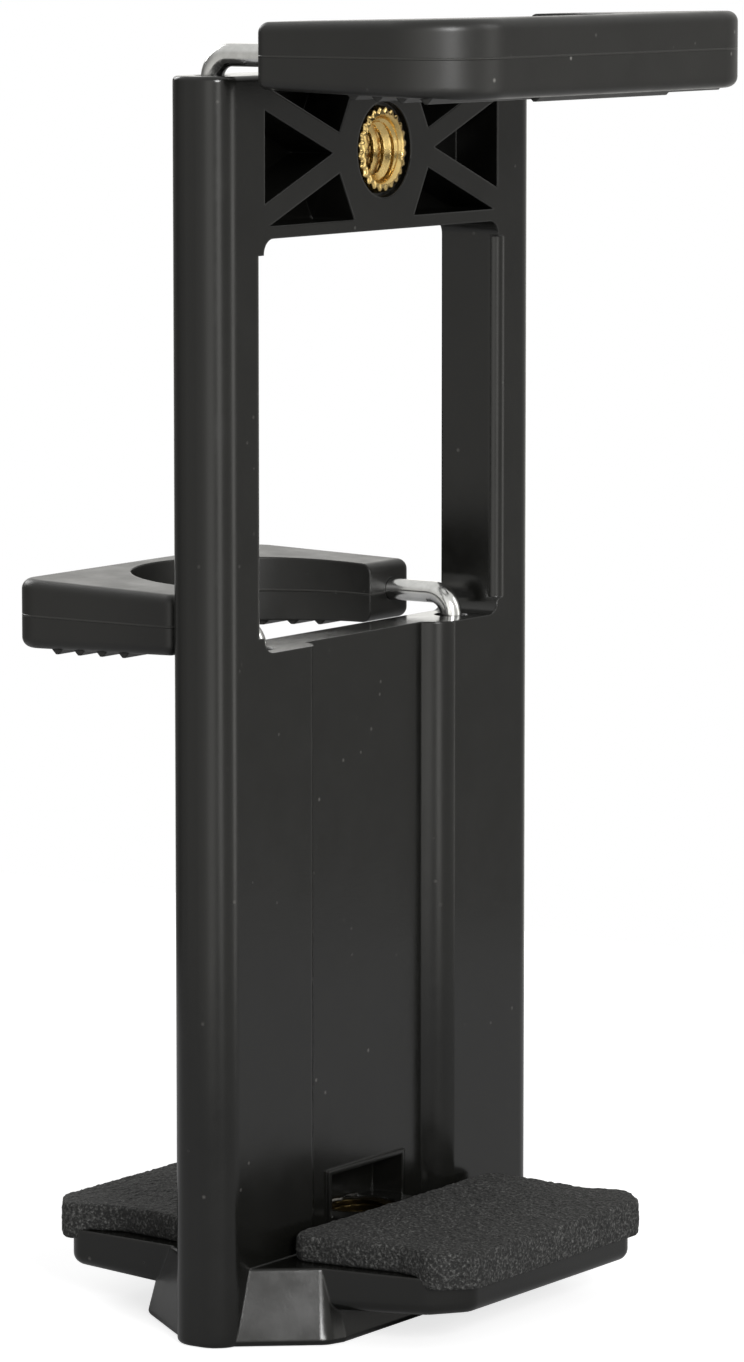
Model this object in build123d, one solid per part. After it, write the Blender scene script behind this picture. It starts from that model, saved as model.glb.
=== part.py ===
from build123d import *
import math
import os

# Two-sided spring holder for a tripod: a tablet jaw faces -Y, a phone jaw faces +Y.
# X is the width, Z points up, and the origin is the mouth of the tripod socket in the base.
# All sizes are in millimetres.

# Moulded body
BODY_DEPTH = 7.09          # thickness of columns, crossbar and tube walls along Y
COLUMN_OUT_X = 28.8        # outer face of a column
COLUMN_WIDTH = 7.45
COLUMN_CORNER_R = 2.9      # rounding of a column's outer corners
BODY_TOP_Z = 126.85
CROSSBAR_HEIGHT = 16.15
PANEL_TOP_Z = 69.45
WINDOW_CORNER_R = 1.6
WINDOW_ROUND_R = 1.3       # rounding of a column's inner front corner beside the window
TOP_EDGE_R = 0.5

# Recess in the front of the panel, between the two phone rod tubes
PANEL_FRONT_Y = -1.1
RECESS_FLOOR_HALF = 10.6
RECESS_MOUTH_HALF = 15.0
TUBE_BULGE = 1.0           # how far the tube wall bulges out of the straight slope

# Pocket at the foot of the panel, over the lower socket
POCKET_HALF = 6.5
POCKET_TOP_Z = 13.85
POCKET_BACK_WALL = 1.2
POCKET_LIP_WIDTH = 0.5
POCKET_LIP_HEIGHT = 0.35
BOSS_TOP_Z = 9.6           # boss round the lower socket, which is the pocket's floor
BOSS_FRONT_STEP = 0.35     # how far the boss stands out of the body in front
BOSS_REAR_STEP = 1.4
BOSS_REAR_HALF = 5.6
BOSS_NOTCH_HALF = 3.6      # notch that bares the socket's front
BOSS_NOTCH_BACK = 2.0
BOSS_CORNER_R = 1.0

# Base block and foot plates
BASE_TOP_Z = 7.6
BASE_END_FLAT = 2.0        # flat at each end of the base
BASE_END_INSET = 0.1       # the base's ends lie this far inside the columns' outer faces
BASE_FRONT_SHOULDER = (20.9, 10.9)  # where the slanted ends meet the front
BASE_REAR_SHOULDER = (19.8, 12.6)
BASE_FACE_STEP = (2.2, 0.7)          # the long faces bow out this far from the shoulders
BASE_CORNER_R = 2.6
BASE_EDGE_R = 0.5
BASE_TOP_EDGE_R = 0.35
BASE_DRAFT = 14.0          # degrees, how the sides of the base lean in
PLATE_ROOT_Y = 8.6
PLATE_LOW_ROOT_Z = 3.2
PLATE_LOW_TIP_Z = 3.9
PLATE_ROOT_HALF = 19.9
PLATE_FRONT_CORNER = (18.2, 20.8)
PLATE_REAR_CORNER = (19.0, 22.4)
PLATE_CORNER_CUT = 3.4
PLATE_CORNER_R = 2.0
PLATE_EDGE_R = 1.2
FRONT_REACH = 24.2
REAR_REACH = 24.9

# Foam pads
FOAM_TOP_Z = 10.48
FOAM_FRONT_GAP = 1.0       # gap between the front pad and the body
FOAM_REAR_GAP = 1.8        # the rear pad also clears the lower socket's boss
FOAM_ROOT_HALF = 18.8
FOAM_WAIST = (17.5, 17.0)  # half width at the narrowest place, and its distance from the middle
FOAM_FRONT_CORNER = (18.7, 21.8)
FOAM_REAR_CORNER = (19.6, 23.4)
FOAM_OVERHANG = 1.0        # how far a pad reaches out past its plate
FOAM_CORNER_CUT = 3.4
FOAM_CORNER_R = 1.6
FOAM_LIP_Z = 6.6           # the pad's rim hangs down to here round the plate's outer edge
FOAM_LIP_GAP = 0.1
FOAM_SEAT_GAP = 0.05       # adhesive film under the pad
FOAM_EDGE_R = 0.5

# Crossbar ribs
RIB_POCKET_DEPTH = 5.2
RIB_POCKET_R = 0.6
RIB_SIDE_STEP = 0.2        # the side pockets stop this far short of the columns
RIB_FRAME = 1.25           # wall left round the pockets
RIB_WIDTH = 2.3            # diagonal ribs
RIB_MEET_X = 6.0           # each pair of ribs meets here, inside the hub
RIB_END_RISE = 5.95        # height of a rib's outer end over the crossbar's middle
HUB_HALF_WIDTH = 5.4       # half width of the hub at the crossbar's lower and upper edges
HUB_R = 8.1                # half width of the hub at its middle
HUB_SIDE_RISE = 1.9
HUB_GROOVE_WIDTH = 0.5
HUB_GROOVE_DEPTH = 0.8

# Threaded brass sockets, quarter inch camera thread
SOCKET_R = 4.37
SOCKET_LENGTH = 6.2
SOCKET_BORE_R = 2.6
SOCKET_CHAMFER = 0.75
SOCKET_TEETH = 24
SOCKET_TOOTH = 0.3
SOCKET_FIT = 0.02
SEAT_TURN = 45             # degrees, turns the seams of the round seats away from the middle planes
TOP_SOCKET_DROP = 8.01     # from the body's top down to the upper socket's axis
BASE_SOCKET_LENGTH = 9.9
SOCKET_BOSS_WALL = 1.6     # wall of the round boss that holds the lower socket

# Sliding rods of bent wire
ROD_R = 1.15
ROD_FIT = 0.05             # running clearance in the guide holes
ROD_MOUTH_DEPTH = 0.9
ROD_MOUTH_FLARE = 0.6
TABLET_ROD_X = 25.05
PHONE_ROD_X = 17.85
TABLET_ROD_RISE = 2.05     # height of the rods' level ends over the body's top
PHONE_ROD_RISE = 2.25      # the same, over the panel's top
TABLET_BEND_R = 2.4
PHONE_BEND_R = 2.4
ROD_GRIP_DEPTH = 14.0      # length of rod held in an arm
ROD_GRIP_FIT = 0.03
ROD_END_GAP = 0.5          # gap between a rod's end and the end of its hole

# Spring wells, springs and the collars that push them
WELL_R = 2.0
TABLET_SHOULDER = 3.0      # depth of the guide hole above the spring
PHONE_SHOULDER = 3.2
SPRING_WIRE = 0.5
SPRING_FIT = 0.1
SPRING_END_GAP = 0.1
COLLAR_FIT = 0.08
COLLAR_HEIGHT = 3.0
COLLAR_REST_GAP = 0.3      # gap under the collars when the jaws are shut

# Base cover and screws
COVER_THICK = 2.0
COVER_RIM = 0.9            # rim of the base left round the cover
COVER_HALF_DEPTH = 8.0
COVER_FIT = 0.1
SCREW_X = 10.8
SCREW_Y = 5.2
SCREW_R = 0.95
SCREW_HEAD_R = 1.9
SCREW_HEAD_HEIGHT = 1.0
SCREW_LENGTH = 6.0
SCREW_SINK = 0.15
SCREW_FIT = 0.03
SCREW_SLOT = 0.5
SCREW_SLOT_SHARE = 0.6     # reach and depth of the slots over the head's radius and height

# Arms
ARM_LEG = 7.35
ARM_EDGE_R = 1.1
TABLET_ARM_ROOT_Y = 7.55
TABLET_ARM_TIP_Y = 31.4
TABLET_ARM_CORNER_R = 8.0
TABLET_ARM_ROOT_RISE = (-3.25, 3.3)  # underside and top of the arm's root, from the rods' level
TABLET_ARM_TIP_RISE = (-4.0, 3.85)
TABLET_CUT_R = 20.8        # round cut-out, open towards the body
TABLET_BRIDGE = 4.2        # bar left beyond the cut-out
PHONE_ARM_ROOT_Y = 7.55
PHONE_ARM_TIP_Y = 28.1
PHONE_ARM_CORNER_R = 3.0
PHONE_ARM_ROOT_RISE = (-3.25, 2.9)
PHONE_ARM_TIP_RISE = (-3.75, 3.45)
PHONE_CUT_R = 14.2
PHONE_BRIDGE = 2.9

# Grip ridges under the arms
GRIP_HEIGHT = 0.5
GRIP_PITCH = 2.8
GRIP_FOOT = 1.2            # width of a ridge where it meets the arm
GRIP_CREST = 0.3
GRIP_RIDGES = 5
GRIP_FRONT_SHARE = 0.45    # length of the outermost ridge, between the round corners, over the others'
PHONE_GRIP_FAR_Y = 25.6    # outermost ridge of the phone arm
PHONE_GRIP_INSET = 0.9     # the ridges stop this far short of the arm's sides
TABLET_GRIP_FAR_Y = 29.3
TABLET_GRIP_INSET = 1.6
GRIP_ROOT = 0.4            # how deep a ridge is rooted in the arm
GRIP_CUT_CLEAR = 0.6       # ridges stop this far from the cut-out's edge

# Sizes that follow
HALF_DEPTH = BODY_DEPTH / 2
COLUMN_IN_X = COLUMN_OUT_X - COLUMN_WIDTH
WINDOW_TOP_Z = BODY_TOP_Z - CROSSBAR_HEIGHT
TOP_SOCKET_Z = BODY_TOP_Z - TOP_SOCKET_DROP
TABLET_ROD_Z = BODY_TOP_Z + TABLET_ROD_RISE
PHONE_ROD_Z = PANEL_TOP_Z + PHONE_ROD_RISE
FOAM_BOTTOM_Z = BASE_TOP_Z + FOAM_SEAT_GAP
SPRING_OUTER_R = WELL_R - SPRING_FIT
SPRING_INNER_R = SPRING_OUTER_R - SPRING_WIRE
COLLAR_BOTTOM_Z = COVER_THICK + COLLAR_REST_GAP
COLLAR_TOP_Z = COLLAR_BOTTOM_Z + COLLAR_HEIGHT


def block(x0, x1, y0, y1, z0, z1):
    """A box between two corners."""
    size = (x1 - x0, y1 - y0, z1 - z0)
    return Pos((x0 + x1) / 2, (y0 + y1) / 2, (z0 + z1) / 2) * Box(*size)


def upright(x, y, z0, z1, radius):
    """A vertical cylinder between two heights."""
    return Pos(x, y, (z0 + z1) / 2) * Cylinder(radius, z1 - z0)


def polygon(points):
    """A flat face through the given XY points."""
    return make_face(Polyline(*points, close=True))


def raised(face, z0, z1):
    """A flat outline in XY, extruded between two heights."""
    return extrude(Pos(0, 0, z0) * face, amount=z1 - z0)


def mirrored(points):
    """Points on the +X side, followed by their mirror images in reverse order."""
    return points + [(-x, y) for x, y in reversed(points)]


def base_outline():
    """Six-sided plan of the base block."""
    flat = BASE_END_FLAT / 2
    end = COLUMN_OUT_X - BASE_END_INSET
    front_x, front_y = BASE_FRONT_SHOULDER
    rear_x, rear_y = BASE_REAR_SHOULDER
    step_x, step_y = BASE_FACE_STEP
    right = [(front_x - step_x, -front_y - step_y), (front_x, -front_y), (end, -flat), (end, flat),
             (rear_x, rear_y), (rear_x - step_x, rear_y + step_y)]
    return polygon(mirrored(right))


def plate_outline(side, grow=0.0):
    """Plan of a foot plate: side is -1 for the front and 1 for the rear."""
    corner_x, corner_y = PLATE_FRONT_CORNER if side < 0 else PLATE_REAR_CORNER
    tip = foot_reach(side) + grow
    right = [(PLATE_ROOT_HALF + grow, side * PLATE_ROOT_Y), (corner_x + grow, side * (corner_y + grow)),
             (corner_x + grow - PLATE_CORNER_CUT, side * tip)]
    return polygon(mirrored(right))


def foot_reach(side):
    """How far a foot plate reaches out from the middle."""
    return FRONT_REACH if side < 0 else REAR_REACH


def fillet_upright(solid, radius, keep):
    """Round the vertical edges that keep(edge centre) picks out."""
    edges = [e for e in solid.edges().filter_by(Axis.Z) if keep(e.center())]
    return fillet(edges, radius)


def foot_plate(side):
    """Foot plate with a sloping underside and a rounded lower edge."""
    low, top = PLATE_LOW_ROOT_Z - 1, BASE_TOP_Z
    plate = raised(plate_outline(side), low, top)
    plate = fillet_upright(plate, PLATE_CORNER_R, lambda c: abs(c.Y) > BASE_REAR_SHOULDER[1] + 1)
    tip = side * foot_reach(side)
    side_view = [(side * PLATE_ROOT_Y, PLATE_LOW_ROOT_Z), (tip, PLATE_LOW_TIP_Z), (tip, top),
                 (side * PLATE_ROOT_Y, top)]
    plate &= extrude(Plane.YZ * polygon(side_view), amount=COLUMN_OUT_X, both=True)
    lowest = plate.faces().sort_by(Axis.Z)[0]
    edges = [e for e in lowest.edges() if abs(e.center().Y) > PLATE_ROOT_Y + 0.5]
    return fillet(edges, PLATE_EDGE_R)


def base_block():
    """Base block, whose sides lean in, with its two foot plates."""
    plan = base_outline()
    shoulders = (BASE_FRONT_SHOULDER[0], BASE_REAR_SHOULDER[0])
    corners = [v for v in plan.vertices() if min(abs(abs(v.X) - x) for x in shoulders) < 0.1]
    body = extrude(fillet(corners, BASE_CORNER_R), amount=BASE_TOP_Z, taper=BASE_DRAFT)
    body = fillet(body.edges().group_by(Axis.Z)[-1], BASE_TOP_EDGE_R)
    body = fillet(body.edges().group_by(Axis.Z)[0], BASE_EDGE_R)
    return body + foot_plate(-1) + foot_plate(1)


def foam_pad(side, gap):
    """Foam pad on a foot plate, whose rim hangs down round the plate's outer edge."""
    root = HALF_DEPTH + gap
    corner_x, corner_y = FOAM_FRONT_CORNER if side < 0 else FOAM_REAR_CORNER
    reach = foot_reach(side) + FOAM_OVERHANG
    right = [(FOAM_ROOT_HALF, side * root), (FOAM_WAIST[0], side * FOAM_WAIST[1]),
             (corner_x, side * corner_y), (corner_x - FOAM_CORNER_CUT, side * reach)]
    pad = raised(polygon(mirrored(right)), FOAM_LIP_Z, FOAM_TOP_Z)
    pad = fillet_upright(pad, FOAM_CORNER_R, lambda c: abs(c.Y) > FOAM_WAIST[1] + 1)
    pad = fillet(pad.edges().group_by(Axis.Z)[-1], FOAM_EDGE_R)
    pad -= raised(plate_outline(side, FOAM_LIP_GAP), FOAM_LIP_Z - 1, FOAM_BOTTOM_Z)
    inner = side * PLATE_ROOT_Y
    wide = FOAM_ROOT_HALF + 1
    return pad - block(-wide, wide, min(inner, 0), max(inner, 0), FOAM_LIP_Z - 1, FOAM_BOTTOM_Z)


def rib_pockets():
    """Pockets of the crossbar, between its slanted ribs and round its hub."""
    z0 = WINDOW_TOP_Z + RIB_FRAME
    z1 = BODY_TOP_Z - RIB_FRAME
    middle = (z0 + z1) / 2
    edge_x = COLUMN_IN_X - RIB_SIDE_STEP
    field = block(-edge_x, edge_x, -HALF_DEPTH, -HALF_DEPTH + RIB_POCKET_DEPTH, z0, z1)
    rise = HUB_SIDE_RISE
    hub = [(HUB_HALF_WIDTH, z0), (HUB_R, middle - rise), (HUB_R, middle + rise), (HUB_HALF_WIDTH, z1)]
    hub_face = Plane.XZ * polygon(mirrored(hub))
    field -= extrude(hub_face, amount=BODY_DEPTH, both=True)
    run = COLUMN_IN_X - RIB_MEET_X
    length = 1.2 * math.hypot(run, RIB_END_RISE)
    for side in (-1, 1):
        for up in (-1, 1):
            tilt = math.degrees(math.atan2(up * RIB_END_RISE, side * run))
            rib = Rot(0, -tilt, 0) * Pos(length / 2, 0, 0) * Box(length, 2 * BODY_DEPTH, RIB_WIDTH)
            field -= Pos(side * RIB_MEET_X, 0, middle) * rib
    return [fillet(s.edges().filter_by(Axis.Y), RIB_POCKET_R) for s in field.solids()]


def recess():
    """Recess in the front of the panel, whose sides are the round walls of the rod tubes."""
    top = PANEL_TOP_Z + 1
    dx = RECESS_MOUTH_HALF - RECESS_FLOOR_HALF
    dy = HALF_DEPTH + PANEL_FRONT_Y
    slope = math.hypot(dx, dy)
    mid = (RECESS_FLOOR_HALF + dx / 2 - TUBE_BULGE * dy / slope,
           PANEL_FRONT_Y - dy / 2 - TUBE_BULGE * dx / slope)
    floor = (RECESS_FLOOR_HALF, PANEL_FRONT_Y)
    mouth = (RECESS_MOUTH_HALF, -HALF_DEPTH)
    outer = (mouth[0], mouth[1] - 1)
    right = [Line((0, floor[1]), floor), ThreePointArc(floor, mid, mouth),
             Line(mouth, outer), Line(outer, (0, outer[1]))]
    half = raised(make_face(Wire(right + [Line((0, outer[1]), (0, floor[1]))])), BASE_TOP_Z, top)
    return half + mirror(half, about=Plane.YZ)


def socket_pocket():
    """Pocket at the foot of the panel that opens over the lower socket."""
    back = HALF_DEPTH - POCKET_BACK_WALL
    return block(-POCKET_HALF, POCKET_HALF, PANEL_FRONT_Y - 1, back, BOSS_TOP_Z, POCKET_TOP_Z)


def socket_boss():
    """Boss round the lower socket, open in front of the brass."""
    front_y = -HALF_DEPTH - BOSS_FRONT_STEP
    rear_y = HALF_DEPTH + BOSS_REAR_STEP
    boss = block(-POCKET_HALF, POCKET_HALF, front_y, 0, BASE_TOP_Z - 1, BOSS_TOP_Z)
    boss = fillet_upright(boss, BOSS_CORNER_R, lambda c: c.Y < -1)
    boss += block(-BOSS_REAR_HALF, BOSS_REAR_HALF, 0, rear_y, BASE_TOP_Z - 1, BOSS_TOP_Z)
    notch = block(-BOSS_NOTCH_HALF, BOSS_NOTCH_HALF, front_y - 1, -BOSS_NOTCH_BACK,
                  BASE_TOP_Z, BOSS_TOP_Z + 1)
    return boss - notch


def pocket_lip():
    """Raised lip round the pocket's mouth."""
    half = POCKET_HALF + POCKET_LIP_WIDTH
    top = POCKET_TOP_Z + POCKET_LIP_WIDTH
    return block(-half, half, PANEL_FRONT_Y - POCKET_LIP_HEIGHT, PANEL_FRONT_Y + 0.2, BASE_TOP_Z - 0.5, top)


def guide(x, top, shoulder):
    """Spring well, guide hole and flared mouth for one rod."""
    well = upright(x, 0, 0, top - shoulder, WELL_R)
    hole = upright(x, 0, top - shoulder - 0.1, top + 0.1, ROD_R + ROD_FIT)
    flare_r = ROD_R + ROD_FIT
    mouth = Pos(x, 0, top - ROD_MOUTH_DEPTH / 2) * Cone(flare_r, flare_r + ROD_MOUTH_FLARE, ROD_MOUTH_DEPTH)
    return well + hole + mouth


def cover_outline(fit):
    """Plan of the cover's seat in the base, drawn in by the fit all round."""
    inset = COVER_RIM + fit
    inner = offset(base_outline(), amount=-inset)
    half = COVER_HALF_DEPTH - fit
    return inner & Rectangle(2 * COLUMN_OUT_X, 2 * half)


def screw_places():
    """XY of the four cover screws."""
    return [(sx * SCREW_X, sy * SCREW_Y) for sy in (-1, 1) for sx in (-1, 1)]


def frame():
    """One-piece moulded body: columns, crossbar, panel, rod tubes, base and foot plates."""
    plan = RectangleRounded(2 * COLUMN_OUT_X, BODY_DEPTH, COLUMN_CORNER_R)
    body = raised(plan, 0, BODY_TOP_Z)
    body = fillet(body.edges().group_by(Axis.Z)[-1], TOP_EDGE_R)
    body = fillet(body.edges().group_by(Axis.Z)[0], BASE_EDGE_R)
    window = Pos(0, 0, (PANEL_TOP_Z + WINDOW_TOP_Z) / 2) * extrude(
        Plane.XZ * RectangleRounded(2 * COLUMN_IN_X, WINDOW_TOP_Z - PANEL_TOP_Z, WINDOW_CORNER_R),
        amount=BODY_DEPTH, both=True)
    body -= window
    for side in (-1, 1):
        x = side * (COLUMN_IN_X + WINDOW_ROUND_R)
        y = -HALF_DEPTH + WINDOW_ROUND_R
        z0, z1 = PANEL_TOP_Z + WINDOW_CORNER_R, WINDOW_TOP_Z - WINDOW_CORNER_R
        corner = block(min(x, side * COLUMN_IN_X), max(x, side * COLUMN_IN_X), -HALF_DEPTH, y, z0, z1)
        body -= corner - upright(x, y, z0, z1, WINDOW_ROUND_R)
    body -= recess()
    body += pocket_lip()
    body += base_block()
    body += socket_boss()
    body -= socket_pocket()
    for pocket in rib_pockets():
        body -= pocket
    for side in (-1, 1):
        body -= guide(side * TABLET_ROD_X, BODY_TOP_Z, TABLET_SHOULDER)
        body -= guide(side * PHONE_ROD_X, PANEL_TOP_Z, PHONE_SHOULDER)
    body -= raised(cover_outline(0), 0, COVER_THICK)
    # the lower socket's boss runs down through the cover to the base's underside
    body += upright(0, 0, 0, BASE_TOP_Z, SOCKET_R + SOCKET_BOSS_WALL)
    body -= Rot(0, 0, SEAT_TURN) * upright(0, 0, 0, BASE_SOCKET_LENGTH, SOCKET_R + SOCKET_FIT)
    # top socket and the narrow groove round it
    seat = Pos(0, -HALF_DEPTH, TOP_SOCKET_Z) * Rot(90, 0, 0) * Rot(0, 0, SEAT_TURN)
    body -= seat * Cylinder(SOCKET_R + SOCKET_FIT, 2 * SOCKET_LENGTH)
    groove_r = SOCKET_R + HUB_GROOVE_WIDTH
    body -= seat * Cylinder(groove_r, 2 * HUB_GROOVE_DEPTH)
    for x, y in screw_places():
        body -= upright(x, y, 0, SCREW_LENGTH + 0.5, SCREW_R + SCREW_FIT)
    return body


def socket(length, chamfer):
    """Knurled brass socket along +Z with its mouth at z = 0 facing down."""
    points = []
    for i in range(2 * SOCKET_TEETH):
        angle = math.pi * i / SOCKET_TEETH
        radius = SOCKET_R - SOCKET_TOOTH * (i % 2)
        points.append((radius * math.cos(angle), radius * math.sin(angle)))
    body = raised(polygon(points), 0, length)
    body -= upright(0, 0, -1, length + 1, SOCKET_BORE_R)
    if chamfer:
        body -= Pos(0, 0, chamfer / 2) * Cone(SOCKET_BORE_R + chamfer, SOCKET_BORE_R, chamfer)
    return body


def base_cover():
    """Flat cover that closes the spring wells from below."""
    body = raised(cover_outline(COVER_FIT), 0, COVER_THICK)
    body -= upright(0, 0, -1, COVER_THICK + 1, SOCKET_R + SOCKET_BOSS_WALL + COVER_FIT)
    for x, y in screw_places():
        body -= upright(x, y, -1, COVER_THICK + 1, SCREW_R + 2 * SCREW_FIT)
        cone_r = SCREW_HEAD_R + SCREW_FIT
        cone = Cone(cone_r, SCREW_R + SCREW_FIT, SCREW_HEAD_HEIGHT)
        body -= Pos(x, y, SCREW_SINK + SCREW_HEAD_HEIGHT / 2) * cone
        body -= upright(x, y, -1, SCREW_SINK, cone_r)
    return body


def cover_screw(x, y):
    """Small countersunk screw with a cross slot, head down."""
    head = Pos(0, 0, SCREW_SINK + SCREW_HEAD_HEIGHT / 2) * Cone(SCREW_HEAD_R, SCREW_R, SCREW_HEAD_HEIGHT)
    shank = upright(0, 0, SCREW_SINK + SCREW_HEAD_HEIGHT, SCREW_LENGTH, SCREW_R)
    body = head + shank
    reach = SCREW_HEAD_R * SCREW_SLOT_SHARE
    floor = SCREW_SINK + SCREW_HEAD_HEIGHT * SCREW_SLOT_SHARE
    for turn in (0, 90):
        body -= Rot(0, 0, turn) * block(-reach, reach, -SCREW_SLOT / 2, SCREW_SLOT / 2, 0, floor)
    return Pos(x, y, 0) * body


def rod(x, side, level_z, bend_r, reach):
    """Bent wire: up out of its well, round a quarter bend, and level into the arm."""
    start = (x, 0, COLLAR_BOTTOM_Z)
    bend = (x, 0, level_z - bend_r)
    level = (x, side * bend_r, level_z)
    arc = TangentArc(bend, level, tangent=(0, 0, 1))
    path = Wire([Line(start, bend), arc, Line(level, (x, side * reach, level_z))])
    return sweep(Plane(start, z_dir=(0, 0, 1)) * Circle(ROD_R), path=path)


def collar(x):
    """Collar fixed on a rod's foot, which pushes the spring up."""
    body = upright(x, 0, COLLAR_BOTTOM_Z, COLLAR_TOP_Z, WELL_R - COLLAR_FIT)
    return body - upright(x, 0, 0, COLLAR_TOP_Z + 1, ROD_R + ROD_GRIP_FIT)


def spring(x, top):
    """Envelope of a close-wound compression spring, from the collar to the well's shoulder."""
    z0, z1 = COLLAR_TOP_Z + SPRING_END_GAP, top - SPRING_END_GAP
    return upright(x, 0, z0, z1, SPRING_OUTER_R) - upright(x, 0, z0, z1, SPRING_INNER_R)


def arm(half, root_y, tip_y, corner_r, root_rise, tip_rise, cut_r, bridge, rod_x, rod_z, grip_reach, grip_y):
    """U-shaped jaw arm reaching along +Y, thicker at its tip, with grip ridges underneath."""
    root_z = [rod_z + rise for rise in root_rise]
    tip_z = [rod_z + rise for rise in tip_rise]
    cut_y = tip_y - bridge - cut_r
    plan = polygon([(-half, root_y), (half, root_y), (half, tip_y), (-half, tip_y)])
    body = raised(plan, tip_z[0] - 1, tip_z[1] + 1)
    body = fillet_upright(body, corner_r, lambda c: c.Y > tip_y - 0.1)
    side_view = [(root_y, root_z[0]), (tip_y, tip_z[0]), (tip_y, tip_z[1]), (root_y, root_z[1])]
    body &= extrude(Plane.YZ * polygon(side_view), amount=half + 1, both=True)
    body = fillet(body.edges(), ARM_EDGE_R)
    cut = upright(0, cut_y, tip_z[0] - 2, tip_z[1] + 2, cut_r)
    body -= cut
    body += grip(grip_reach, grip_y, root_y, tip_y, root_z, tip_z, cut_r, cut_y)
    for side in (-1, 1):
        depth = root_y + ROD_GRIP_DEPTH
        hole = Pos(side * rod_x, (root_y + depth) / 2, rod_z) * Rot(90, 0, 0)
        body -= hole * Cylinder(ROD_R + ROD_GRIP_FIT, depth - root_y)
    return body


def grip(reach, far_y, root_y, tip_y, root_z, tip_z, cut_r, cut_y):
    """Ridges under the arm's outer part, which run across it and stop at the cut-out."""
    slope = (tip_z[0] - root_z[0]) / (tip_y - root_y)
    ridges = []
    for i in range(GRIP_RIDGES):
        y = far_y - i * GRIP_PITCH
        z = tip_z[0] + slope * (y - tip_y)
        high, low = z + GRIP_ROOT, z - GRIP_HEIGHT
        foot = GRIP_FOOT / 2 * (1 + GRIP_ROOT / GRIP_HEIGHT)
        section = [(y - foot, high), (y - GRIP_CREST / 2, low), (y + GRIP_CREST / 2, low), (y + foot, high)]
        half = reach * (GRIP_FRONT_SHARE if i == 0 else 1)
        ridge = extrude(Plane.YZ * polygon(section), amount=half, both=True)
        ridges.append(ridge - upright(0, cut_y, low - 1, high + 1, cut_r + GRIP_CUT_CLEAR))
    return ridges


def build():
    """All the pieces by name."""
    parts = {"frame": frame(), "base_cover": base_cover()}
    mouth = Pos(0, -HALF_DEPTH, TOP_SOCKET_Z) * Rot(-90, 0, 0)
    parts["top_socket"] = mouth * socket(SOCKET_LENGTH, SOCKET_CHAMFER)
    parts["base_socket"] = socket(BASE_SOCKET_LENGTH, 0)
    tablet_half = TABLET_ROD_X + ARM_LEG / 2
    phone_half = PHONE_ROD_X + ARM_LEG / 2
    parts["tablet_arm"] = Rot(0, 0, 180) * arm(
        tablet_half, TABLET_ARM_ROOT_Y, TABLET_ARM_TIP_Y, TABLET_ARM_CORNER_R,
        TABLET_ARM_ROOT_RISE, TABLET_ARM_TIP_RISE, TABLET_CUT_R, TABLET_BRIDGE, TABLET_ROD_X, TABLET_ROD_Z,
        tablet_half - TABLET_GRIP_INSET, TABLET_GRIP_FAR_Y)
    parts["phone_arm"] = arm(
        phone_half, PHONE_ARM_ROOT_Y, PHONE_ARM_TIP_Y, PHONE_ARM_CORNER_R,
        PHONE_ARM_ROOT_RISE, PHONE_ARM_TIP_RISE, PHONE_CUT_R, PHONE_BRIDGE, PHONE_ROD_X, PHONE_ROD_Z,
        phone_half - PHONE_GRIP_INSET, PHONE_GRIP_FAR_Y)
    for name, side in (("left", -1), ("right", 1)):
        parts[f"tablet_rod_{name}"] = rod(side * TABLET_ROD_X, -1, TABLET_ROD_Z, TABLET_BEND_R,
                                          TABLET_ARM_ROOT_Y + ROD_GRIP_DEPTH - ROD_END_GAP)
        parts[f"phone_rod_{name}"] = rod(side * PHONE_ROD_X, 1, PHONE_ROD_Z, PHONE_BEND_R,
                                         PHONE_ARM_ROOT_Y + ROD_GRIP_DEPTH - ROD_END_GAP)
        parts[f"tablet_collar_{name}"] = collar(side * TABLET_ROD_X)
        parts[f"phone_collar_{name}"] = collar(side * PHONE_ROD_X)
        parts[f"tablet_spring_{name}"] = spring(side * TABLET_ROD_X, BODY_TOP_Z - TABLET_SHOULDER)
        parts[f"phone_spring_{name}"] = spring(side * PHONE_ROD_X, PANEL_TOP_Z - PHONE_SHOULDER)
    parts["front_foam_pad"] = foam_pad(-1, FOAM_FRONT_GAP)
    parts["rear_foam_pad"] = foam_pad(1, FOAM_REAR_GAP)
    for i, (x, y) in enumerate(screw_places()):
        parts[f"cover_screw_{i + 1}"] = cover_screw(x, y)
    return parts


os.makedirs("parts", exist_ok=True)
for node, shape in build().items():
    export_step(shape, f"parts/{node}.step")
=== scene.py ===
import math

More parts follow.
